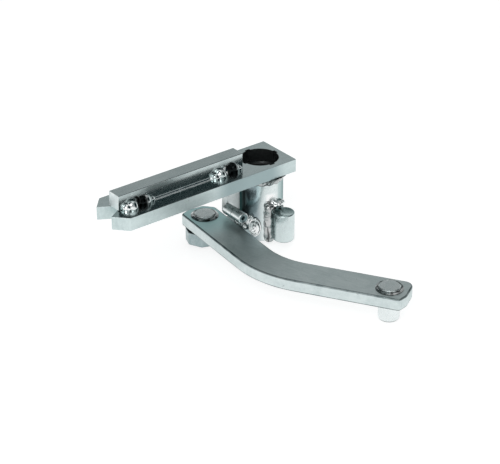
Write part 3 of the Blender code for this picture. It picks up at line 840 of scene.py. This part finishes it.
def whorl(weld, angle):
    """The end of the arm's front weld: a round crater whose ripples curl inwards."""
    rings, steps = 34, 96
    shape = bmesh.new()
    grid = []
    for row in range(rings + 1):
        t = row / rings
        ring = []
        for step in range(steps):
            turn = 2 * math.pi * step / steps
            wobble = 1 + 0.09 * noise.noise(Vector((math.cos(turn) * 1.6, math.sin(turn) * 1.6, 5)))
            u = WHORL_REACH.x * t * math.cos(turn) * wobble
            v = WHORL_REACH.y * t * math.sin(turn) * wobble
            dome = math.sqrt(max(0.0, 1 - t**2))
            curl = math.cos(2 * math.pi * (3.1 * t + turn / (2 * math.pi)))
            rise = dome * 4.2 * MM + dome * 0.75 * MM * curl
            rise += dome * 0.5 * MM * noise.noise(Vector((u, v, 0)) / (2.2 * MM))
            x, y = on_circle(HUB_R - 0.4 * MM + rise, angle + u / HUB_R)
            ring.append(shape.verts.new((x, y, WHORL_HEIGHT + v)))
        grid.append(ring)
    for inner, outer in zip(grid, grid[1:]):
        bridge(shape, inner, outer)
    bmesh.ops.remove_doubles(shape, verts=shape.verts, dist=0.000001)
    mesh = smooth_mesh("arm_weld_front_bead", shape)
    piece("arm_weld_front_bead", mesh, "lever", weld, ["arm_weld_front"])
    x, y = on_circle(HUB_R + 1.4 * MM, angle - math.radians(18))
    lumps = [((x, y, 21 * MM), (2.8 * MM, 2.8 * MM, 4.6 * MM), 0.0)]
    x, y = on_circle(HUB_R + 1.0 * MM, angle - math.radians(8))
    lumps.append(((x, y, 26 * MM), (2.6 * MM, 2.6 * MM, 2.8 * MM), 0.0))
    mesh = lumpy("arm_weld_front_cap", lumps, rough=0.3 * MM, scale=4 * MM, seed=9, smooth=6, fine=0.1)
    piece("arm_weld_front_cap", mesh, "lever", weld, ["arm_weld_front"])


def stub(steel):
    centre = middle(STUB).xy
    radius = (STUB[1].x - STUB[0].x) / 2
    foot, top = STUB[0].z, STUB[1].z
    profile = [
        (0, top - 0.55 * MM),
        (radius - 2.2 * MM, top - 0.5 * MM),
        (radius - 1.5 * MM, top - 0.06 * MM),
        (radius - 1.0 * MM, top),
        (radius - 0.35 * MM, top - 0.3 * MM),
        (radius, top - 1.1 * MM),
        (radius, foot + 1.0 * MM),
        (radius - 0.3 * MM, foot + 0.3 * MM),
        (radius - 1.0 * MM, foot),
        (0, foot),
    ]
    mesh = turned("stop_stub_steel", profile, centre, 96, 50)
    return piece("stop_stub_steel", mesh, "lever", steel, ["stop_stub"])


def stub_welds(weld, weld_streaked):
    centre = middle(STUB).xy
    facing = math.atan2(centre.y, centre.x)
    for name, side, count in (("left", -1, 9), ("right", 1, 6)):
        x, y = on_circle(HUB_R + 2.2 * MM, facing + side * math.radians(23))
        lumps = []
        for number in range(count):
            out = 0.5 * MM * math.sin(number * 1.9)
            lumps.append(((x + out, y, (4.5 + 4.0 * number) * MM), (5.4 * MM, 4.4 * MM, 4.8 * MM), 0.0))
        full = f"stub_weld_{name}"
        seed = 30 + side
        mesh = lumpy(full + "_bead", lumps, rough=0.4 * MM, scale=4 * MM, seed=seed, smooth=7, fine=0.2)
        piece(full + "_bead", mesh, "lever", weld_streaked, [full])
    lumps = []
    for turn, up, size in ((-15, 2.4, 3.4), (-5, 3.8, 3.8), (6, 3.2, 4.0), (16, 3.6, 3.4)):
        x, y = on_circle(HUB_R + 1.4 * MM, facing + math.radians(turn))
        lumps.append(((x, y, STUB[1].z + up * MM), (size * MM, size * MM, size * 1.15 * MM), 0.0))
    mesh = lumpy("stub_weld_top_bead", lumps, rough=0.8 * MM, scale=3.2 * MM, seed=44, smooth=4)
    piece("stub_weld_top_bead", mesh, "lever", weld, ["stub_weld_top"])


def lug(steel):
    low, high = LUG
    outline = [(low.x, low.y), (high.x, low.y), (high.x, high.y), (low.x, high.y)]
    mesh = flat_bar("stop_lug_steel", softened(outline, 1.0 * MM), low.z, high.z, 0.8 * MM)
    return piece("stop_lug_steel", mesh, "lever", steel, ["stop_lug"])


def adjustable_stop(steel, shaded_cup):
    centre = middle(SLEEVE)
    radius = (SLEEVE[1].x - SLEEVE[0].x) / 2
    start, end = -SLEEVE[1].y, -SLEEVE[0].y
    inner = SLEEVE_BORE_R
    profile = [
        (inner, end),
        (radius - 1.0 * MM, end),
        (radius - 0.3 * MM, end - 0.3 * MM),
        (radius, end - 1.0 * MM),
        (radius, start + 0.4 * MM),
        (radius - 0.4 * MM, start),
        (inner, start),
    ]
    mesh = turned("stop_sleeve_steel", profile, (0, 0), 64)
    lay_along_y(mesh, centre.x, centre.z)
    piece("stop_sleeve_steel", mesh, "lever", steel, ["stop_sleeve"])
    head_end = -SCREW[0].y
    head_start = end + GAP
    shank_start = -SCREW[1].y
    socket = 2.0 * MM
    cup = radius - 1.0 * MM
    profile = [
        (0, head_end - 4.6 * MM),
        (socket, head_end - 4 * MM),
        (socket + 0.3 * MM, head_end - 1.0 * MM),
        (cup - 0.5 * MM, head_end - 0.5 * MM),
        (cup, head_end - 0.1 * MM),
        (cup + 0.3 * MM, head_end),
        (radius - 0.3 * MM, head_end - 0.2 * MM),
        (radius, head_end - 0.6 * MM),
        (radius, head_start + 0.5 * MM),
        (radius - 0.5 * MM, head_start),
        (SCREW_SHANK_R, head_start),
        (SCREW_SHANK_R, shank_start + 0.4 * MM),
        (SCREW_SHANK_R - 0.4 * MM, shank_start),
        (0, shank_start),
    ]
    mesh = turned("stop_screw_steel", profile, (0, 0), 64)
    lay_along_y(mesh, centre.x, centre.z)
    obj = piece("stop_screw_steel", mesh, "stop_screw", steel, ["stop_screw"])
    # The hollow end and its socket take the darker zinc: painted shade.
    mesh.materials.append(shaded_cup)
    for face in mesh.polygons:
        off_axis = math.hypot(face.center.x - centre.x, face.center.z - centre.z)
        if off_axis < cup and face.center.y < -head_start:
            face.material_index = 1
    return obj


# The link


def link_outline():
    first, second = LINK_ANGLES
    half = LINK_HALF
    corner = along(PIVOT, first, LINK_RUNS[0], 0)
    drive = along(corner, second, LINK_RUNS[1], 0)
    turn = second - first
    centre = along(corner, first, -LINK_BEND_R * math.tan(turn / 2), LINK_BEND_R)
    outer = arc(centre, LINK_BEND_R + half, first - math.pi / 2, second - math.pi / 2, 40)
    inner = arc(centre, LINK_BEND_R - half, second - math.pi / 2, first - math.pi / 2, 36)
    back, front = LINK_BACK_CHAMFER, LINK_FRONT_CHAMFER
    end = LINK_OVERHANG
    near_end = [
        along(PIVOT, first, -end + back.x, half),
        along(PIVOT, first, -end, half - back.y),
        along(PIVOT, first, -end, front.y - half),
        along(PIVOT, first, -end + front.x, -half),
    ]
    far_end = [
        along(drive, second, end - front.x, -half),
        along(drive, second, end, front.y - half),
        along(drive, second, end, 0),
    ]
    round_corner = along(drive, second, end - LINK_FAR_CORNER_R, half - LINK_FAR_CORNER_R)
    near = softened([inner[-1], *near_end, outer[0]], 2.2 * MM, False)[1:-1]
    far = softened([outer[-1], *far_end], 2.2 * MM, False)[1:-1]
    far += arc(round_corner, LINK_FAR_CORNER_R, second, second + math.pi / 2, 10)
    return near + outer + far + inner


def link(steel):
    mesh = flat_bar("link_plate_steel", link_outline(), LINK[0].z, LINK[1].z, 1.4 * MM)
    return piece("link_plate_steel", mesh, "link", steel, ["link_plate"])


def ring_profile(inner, corners):
    foot, top = corners[0].z, corners[1].z
    outer = (corners[1].x - corners[0].x) / 2
    return [
        (inner, foot + 0.3 * MM),
        (inner + 0.5 * MM, foot + 0.45 * MM),
        (inner + 1.1 * MM, top - 0.15 * MM),
        (inner + 1.7 * MM, top),
        (outer - 1.4 * MM, top - 0.35 * MM),
        (outer - 0.7 * MM, foot + 0.5 * MM),
        (outer - 0.2 * MM, foot + 0.2 * MM),
        (outer, foot),
        (inner, foot),
    ]


def rippled(mesh, foot, seed):
    """Gives the upper side of a bead soft, uneven ripples."""
    for vertex in mesh.vertices:
        if vertex.co.z > foot + 0.25 * MM:
            swell = noise.noise(vertex.co / (3.5 * MM) + Vector((seed, 0, 0)))
            vertex.co.z = max(foot + 0.25 * MM, vertex.co.z + 0.3 * MM * swell - 0.15 * MM)
    return mesh


def pin_head(radius, top, seat):
    """The first points of a pin's profile: its flat, crisp head, down to its neck."""
    return [
        (0, top - 0.12 * MM),
        (radius * 0.45, top - 0.1 * MM),
        (radius - 1.2 * MM, top),
        (radius - 0.5 * MM, top - 0.12 * MM),
        (radius - 0.1 * MM, top - 0.5 * MM),
        (radius, top - 0.9 * MM),
        (radius, seat),
        (PIN_NECK_R, seat),
    ]


def head_bead(name, node_name, radius, corners, centre, seed, bead):
    """The low bead of metal round a pin's head."""
    mesh = turned(name, ring_profile(radius + GAP, corners), centre, 96, 32)
    rippled(mesh, corners[0].z, seed)
    piece(name, mesh, "link", bead, [node_name])


def pivot_pin(steel, bead):
    radius = (PIVOT_PIN[1].x - PIVOT_PIN[0].x) / 2
    foot = PIVOT_PIN[0].z
    groove_top, groove_foot = CLIP_GROOVE
    profile = pin_head(radius, PIVOT_PIN[1].z, PIVOT_RING[0].z) + [
        (PIN_NECK_R, groove_top),
        (CLIP_GROOVE_R, groove_top),
        (CLIP_GROOVE_R, groove_foot),
        (PIN_NECK_R, groove_foot),
        (PIN_NECK_R, foot + 0.8 * MM),
        (PIN_NECK_R - 0.8 * MM, foot),
        (0, foot),
    ]
    mesh = turned("pivot_pin_steel", profile, PIVOT, 96, 32)
    piece("pivot_pin_steel", mesh, "lever", steel, ["pivot_pin"])
    head_bead("pivot_washer_steel", "pivot_washer", radius, PIVOT_RING, PIVOT, 3.7, bead)


def drive_pin(steel, bead):
    radius = (DRIVE_PIN[1].x - DRIVE_PIN[0].x) / 2
    foot = DRIVE_PIN[0].z
    under = LINK[0].z - GAP
    profile = pin_head(radius, DRIVE_PIN[1].z, DRIVE_RING[0].z) + [
        (PIN_NECK_R, under),
        (radius, under),
        (radius, foot + 2.4 * MM),
        (radius - 0.25 * MM, foot + 1.3 * MM),
        (radius - 0.9 * MM, foot + 0.5 * MM),
        (radius - 2.0 * MM, foot + 0.06 * MM),
        (radius - 2.6 * MM, foot),
        (0, foot),
    ]
    mesh = turned("drive_pin_steel", profile, DRIVE, 96, 32)
    piece("drive_pin_steel", mesh, "link", steel, ["drive_pin"])
    head_bead("drive_collar_steel", "drive_collar", radius, DRIVE_RING, DRIVE, 9.1, bead)


def dress(node_name, material):
    """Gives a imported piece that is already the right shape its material."""
    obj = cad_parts[node_name]
    for holder in obj.material_slots:
        holder.material = material


# The studio


def world_light():
    """A plain studio seen by reflections: bright low down, grey above, bright overhead, with screens."""
    world = bpy.data.worlds.new("studio")
    bpy.context.scene.world = world
    world.use_nodes = True
    tree = world.node_tree
    background = tree.nodes["Background"]
    direction = node(tree, "ShaderNodeTexCoord").outputs["Generated"]
    split = node(tree, "ShaderNodeSeparateXYZ")
    tree.links.new(direction, split.inputs["Vector"])
    level = remap(tree, split.outputs["Z"], 0.10, 0.36, 1.0, 0.42)
    high = remap(tree, split.outputs["Z"], 0.88, 0.98, 0.0, 1.1)
    level = math_node(tree, "ADD", level, high)
    for screen, narrow, wide, left in SCREENS:
        dot = node(tree, "ShaderNodeVectorMath", operation="DOT_PRODUCT")
        tree.links.new(direction, dot.inputs[0])
        dot.inputs[1].default_value = screen.normalized()
        shadow = remap(tree, dot.outputs["Value"], wide, narrow, 1.0, left)
        level = times(tree, level, shadow)
    colour = mix_colour(tree, level, (0.0, 0.016, 0.02), (0.98, 1.0, 1.0))
    tree.links.new(colour, background.inputs["Color"])
    background.inputs["Strength"].default_value = 1.0


def area_light(name, place, target, size, power):
    data = bpy.data.lights.new(name, "AREA")
    data.shape = "RECTANGLE"
    data.size, data.size_y = size
    data.energy = power
    obj = bpy.data.objects.new(name, data)
    bpy.context.scene.collection.objects.link(obj)
    obj.location = place
    obj.rotation_euler = (Vector(target) - Vector(place)).to_track_quat("-Z", "Y").to_euler()
    return obj


def floor():
    """A wide pale floor that rises a little at its far edge."""
    shape = bmesh.new()
    level = CAD_BOX[0].z - GAP
    rings = []
    steps = 64
    for radius, rise in FLOOR_RINGS:
        if radius == 0:
            rings.append([shape.verts.new((0, 0, level))])
            continue
        ring = []
        for step in range(steps):
            x, y = on_circle(radius, 2 * math.pi * step / steps)
            ring.append(shape.verts.new((x, y, level + rise)))
        rings.append(ring)
    for inner, outer in zip(rings, rings[1:]):
        for step in range(steps):
            ahead = (step + 1) % steps
            corners = [outer[step], outer[ahead], inner[ahead % len(inner)]]
            if len(inner) > 1:
                corners.append(inner[step])
            shape.faces.new(corners)
    mesh = bpy.data.meshes.new("floor")
    shape.to_mesh(mesh)
    shape.free()
    mesh.shade_smooth()
    made, tree, shader = new_material("pale_floor", 0.0, (0.5, 0.5, 0.5), 0.9)
    flat = coordinates(tree)
    clouds = noise_value(tree, flat, 3.0, 3.0, 0.5)
    colour = mix_colour(tree, clouds, (0.49, 0.49, 0.49), (0.51, 0.51, 0.51))
    tree.links.new(colour, shader.inputs["Base Color"])
    shader.inputs["Specular IOR Level"].default_value = 0.1
    shader.inputs["Emission Color"].default_value = (1, 1, 1, 1)
    shader.inputs["Emission Strength"].default_value = 0.80
    mesh.materials.append(made)
    obj = bpy.data.objects.new("floor", mesh)
    bpy.context.scene.collection.objects.link(obj)


def camera():
    data = bpy.data.cameras.new("camera")
    data.lens = LENS
    data.sensor_width = 36
    data.clip_start = 0.05
    data.clip_end = 50
    obj = bpy.data.objects.new("camera", data)
    bpy.context.scene.collection.objects.link(obj)
    obj.location = AIM + CAMERA_OFFSET
    obj.rotation_euler = (-CAMERA_OFFSET).to_track_quat("-Z", "Y").to_euler()
    bpy.context.scene.camera = obj


def plated_steels():
    """The plated steel of each rebuilt piece, by the piece's short name."""
    made = {
        "plate": zinc(
            "plate_zinc", (0.50, 0.59, 0.59), (0.61, 0.70, 0.70), (0.15, 0.24), side=0.2, grain=0.6
        ),
        "bar": zinc("bar_zinc", (0.45, 0.53, 0.53), (0.54, 0.61, 0.61), (0.14, 0.22), side=0.04, grain=0.4),
        "hub": zinc("hub_zinc", (0.64, 0.71, 0.71), (0.74, 0.79, 0.79), (0.16, 0.24), mottle=45.0),
        # Painted shade: the arm's dark tones, as it lies under the link, and its dark rim colour.
        "arm": zinc(
            "arm_zinc_shaded", (0.26, 0.34, 0.35), (0.38, 0.45, 0.46), (0.24, 0.36), ARM_ANGLE, mottle=60.0,
            rim=(0.10, 0.13, 0.14),
        ),
        "lug": zinc("lug_zinc", (0.66, 0.71, 0.71), (0.78, 0.82, 0.82), (0.35, 0.5), mottle=120.0),
        # Painted dark reflections on the link's rim and pivot end; its paler sides are painted light.
        "link": zinc(
            "link_zinc", (0.50, 0.58, 0.58), (0.62, 0.69, 0.69), (0.34, 0.44), -1.2, mottle=34.0, side=0.05,
            pale=0.12, shade=(-0.02, 0.018, (0.94, 1.2, 1.2)), rim=(0.06, 0.09, 0.095),
        ),
        # Near-white so that the seam shows as a bright line: painted highlight.
        "seam": zinc("seam_zinc_highlight", (0.86, 0.90, 0.90), (0.95, 0.97, 0.97), (0.16, 0.22), grain=0.2),
        # The stub's pale sides are painted light.
        "stub": zinc(
            "stub_zinc", (0.32, 0.43, 0.43), (0.40, 0.51, 0.51), (0.2, 0.3), mottle=90.0, pale=0.48
        ),
        # Pale sides on the pins, sleeve and screw are painted light.
        "pin": zinc("pin_zinc", (0.54, 0.61, 0.61), (0.66, 0.71, 0.71), (0.22, 0.34), mottle=120.0, pale=0.6),
        "sawn": zinc("sawn_zinc", (0.66, 0.73, 0.73), (0.78, 0.83, 0.83), (0.45, 0.6), mottle=90.0),
        "weld_matt": zinc(
            "weld_zinc_matt", (0.58, 0.64, 0.64), (0.78, 0.82, 0.82), (0.14, 0.24), mottle=140.0, grain=1.6
        ),
        # Painted shade: the darker zinc of the screw's hollow end.
        "cup": zinc("cup_zinc_shaded", (0.12, 0.19, 0.20), (0.24, 0.32, 0.33), (0.3, 0.45), mottle=300.0),
    }
    # Painted dark reflections on the stub and on the plate's side.
    tint_sector(made["stub"], 139, 170, (0.34, 0.43, 0.43), centre=middle(STUB).xy)
    tint_band(made["plate"], -80 * MM, 12 * MM, (0.33, 0.42, 0.43), 25 * MM, 20 * MM)
    hub_shader = made["hub"].node_tree.nodes["Principled BSDF"]
    hub_shader.inputs["Specular Tint"].default_value = (0.35, 0.42, 0.42, 1.0)
    # Painted reflections on the hub: dark at its left, a near-white highlight, darker at its front right.
    tint_sector(made["hub"], 139, 216, (0.27, 0.33, 0.35))
    tint_sector(made["hub"], 135, 182, (0.045, 0.055, 0.055))
    tint_sector(made["hub"], 250, 256, (0.99, 0.99, 0.99), (36 * MM, 48 * MM))
    tint_sector(made["hub"], 285, 325, (0.50, 0.60, 0.60))
    return made


def weld_metals():
    """The glossy weld metals, by their short names."""
    made = {
        "weld": weld_zinc("weld_zinc", 1.0, 0.0002),
        "clean": weld_zinc("weld_zinc_clean", 0.2, 0.0002),
        "streaked": weld_zinc("weld_zinc_streaked", 0.75, 0.00015, (1, 1, 4.5), 330.0, 0.6, (0.16, 0.26)),
        "bead": weld_zinc("bead_zinc", 0.7, 0.00004, tone=0.62, gloss=(0.12, 0.2)),
        "heaped": weld_zinc("weld_zinc_heaped", 0.0, 0.00012, gloss=(0.06, 0.14)),
    }
    # Darkens a stretch of each heaped weld to near black.
    for start in (-154.5 * MM, -51.5 * MM):
        tint_band(made["heaped"], start, start + 15 * MM, (0.008, 0.01, 0.01), 2.5 * MM, 4 * MM, False)
    return made


def dress_hidden_pieces(black):
    """The bushes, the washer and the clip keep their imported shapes."""
    bearing = bare_metal(
        "bearing_bronze", ((0.5, 0.36, 0.2), 0.35), (0.36, 0.25, 0.13), (0.62, 0.46, 0.26),
        0.3, 200.0, 1500.0, (0.45, 0.28),
    )
    spring = bare_metal(
        "spring_black", ((0.08, 0.08, 0.08), 0.4), (0.04, 0.042, 0.045), (0.16, 0.165, 0.17),
        0.35, 260.0, 1300.0, (0.5, 0.32),
    )
    for name in ("hub_bush_upper", "hub_bush_lower"):
        dress(name, black)
    for name in ("link_bush", "thrust_washer"):
        dress(name, bearing)
    dress("pivot_clip", spring)


def build():
    steel = plated_steels()
    metal = weld_metals()
    black = bush_black_and_bore_reflection("bore_black")

    leaf_plate(steel["plate"], black)
    leaf_bar(steel["bar"], steel["sawn"])
    bar_welds(metal["heaped"], steel["seam"])
    hub(steel["hub"])
    plate_ring_weld(steel["weld_matt"])
    lower_arm(steel["arm"])
    arm_welds(metal["clean"], steel["weld_matt"])
    stub(steel["stub"])
    stub_welds(metal["weld"], metal["streaked"])
    lug(steel["lug"])
    adjustable_stop(steel["pin"], steel["cup"])
    link(steel["link"])
    pivot_pin(steel["pin"], metal["bead"])
    drive_pin(steel["pin"], metal["bead"])
    dress_hidden_pieces(black)

    world_light()
    area_light("key", (-1.5, -1.0, 1.5), (0, 0, 0), (1.3, 1.3), 15)
    floor()
    camera()
    view = bpy.context.scene.view_settings
    view.view_transform = "Standard"
    view.look = "None"


build()
